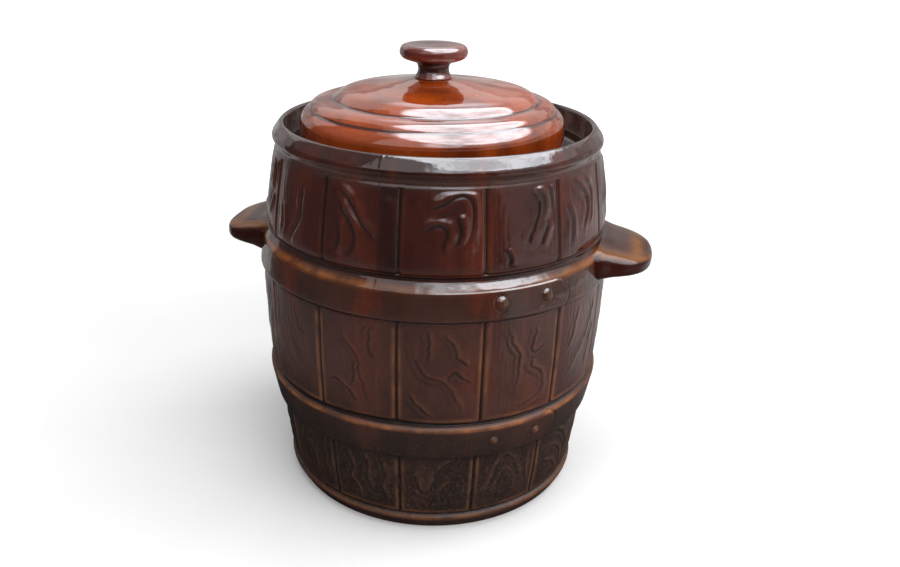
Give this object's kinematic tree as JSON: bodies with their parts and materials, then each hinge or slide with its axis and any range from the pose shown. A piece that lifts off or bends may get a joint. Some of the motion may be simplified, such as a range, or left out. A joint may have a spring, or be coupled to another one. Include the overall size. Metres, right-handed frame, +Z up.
{
  "type": "fermentation crock",
  "caption": "Barrel-shaped stoneware fermentation crock with stave and hoop relief, lug handles, a water seal gutter, a stepped lid with a mushroom knob, and weight stones inside.",
  "frame": {"origin": "centre of the foot, on the surface the crock stands on", "axes": "+Z up along the barrel's axis, +X towards the right lug, -Y towards the front"},
  "size_m": [0.3204, 0.26, 0.326],
  "materials": {
    "barrel_glaze": "brown salt-like glaze, amber where it thins on raised edges, dusty near the foot",
    "gutter_glaze": "dark red-brown glossy glaze",
    "lug_glaze": "brown glossy glaze, amber on the edges",
    "lid_glaze": "orange-brown mirror-gloss glaze",
    "knob_glaze": "red-brown mirror-gloss glaze",
    "weight_stoneware": "unglazed matt stoneware"
  },
  "bodies": {
    "crock": {"crock_barrel": "barrel_glaze", "gutter_ring": "gutter_glaze", "lug_left": "lug_glaze", "lug_right": "lug_glaze"},
    "lid": {"lid_cover": "lid_glaze", "lid_knob": "knob_glaze"},
    "weight_left": {"weight_stone_left": "weight_stoneware"},
    "weight_right": {"weight_stone_right": "weight_stoneware"}
  },
  "joints": [
    {"name": "lid_lift", "type": "slide", "parent": "crock", "child": "lid", "axis": [0, 0, 1], "range_m": [0, 0.15]},
    {"name": "weight_left_lift", "type": "slide", "parent": "crock", "child": "weight_left", "axis": [0, 0, 1], "range_m": [0, 0.11]},
    {"name": "weight_right_lift", "type": "slide", "parent": "crock", "child": "weight_right", "axis": [0, 0, 1], "range_m": [0, 0.11]}
  ]
}
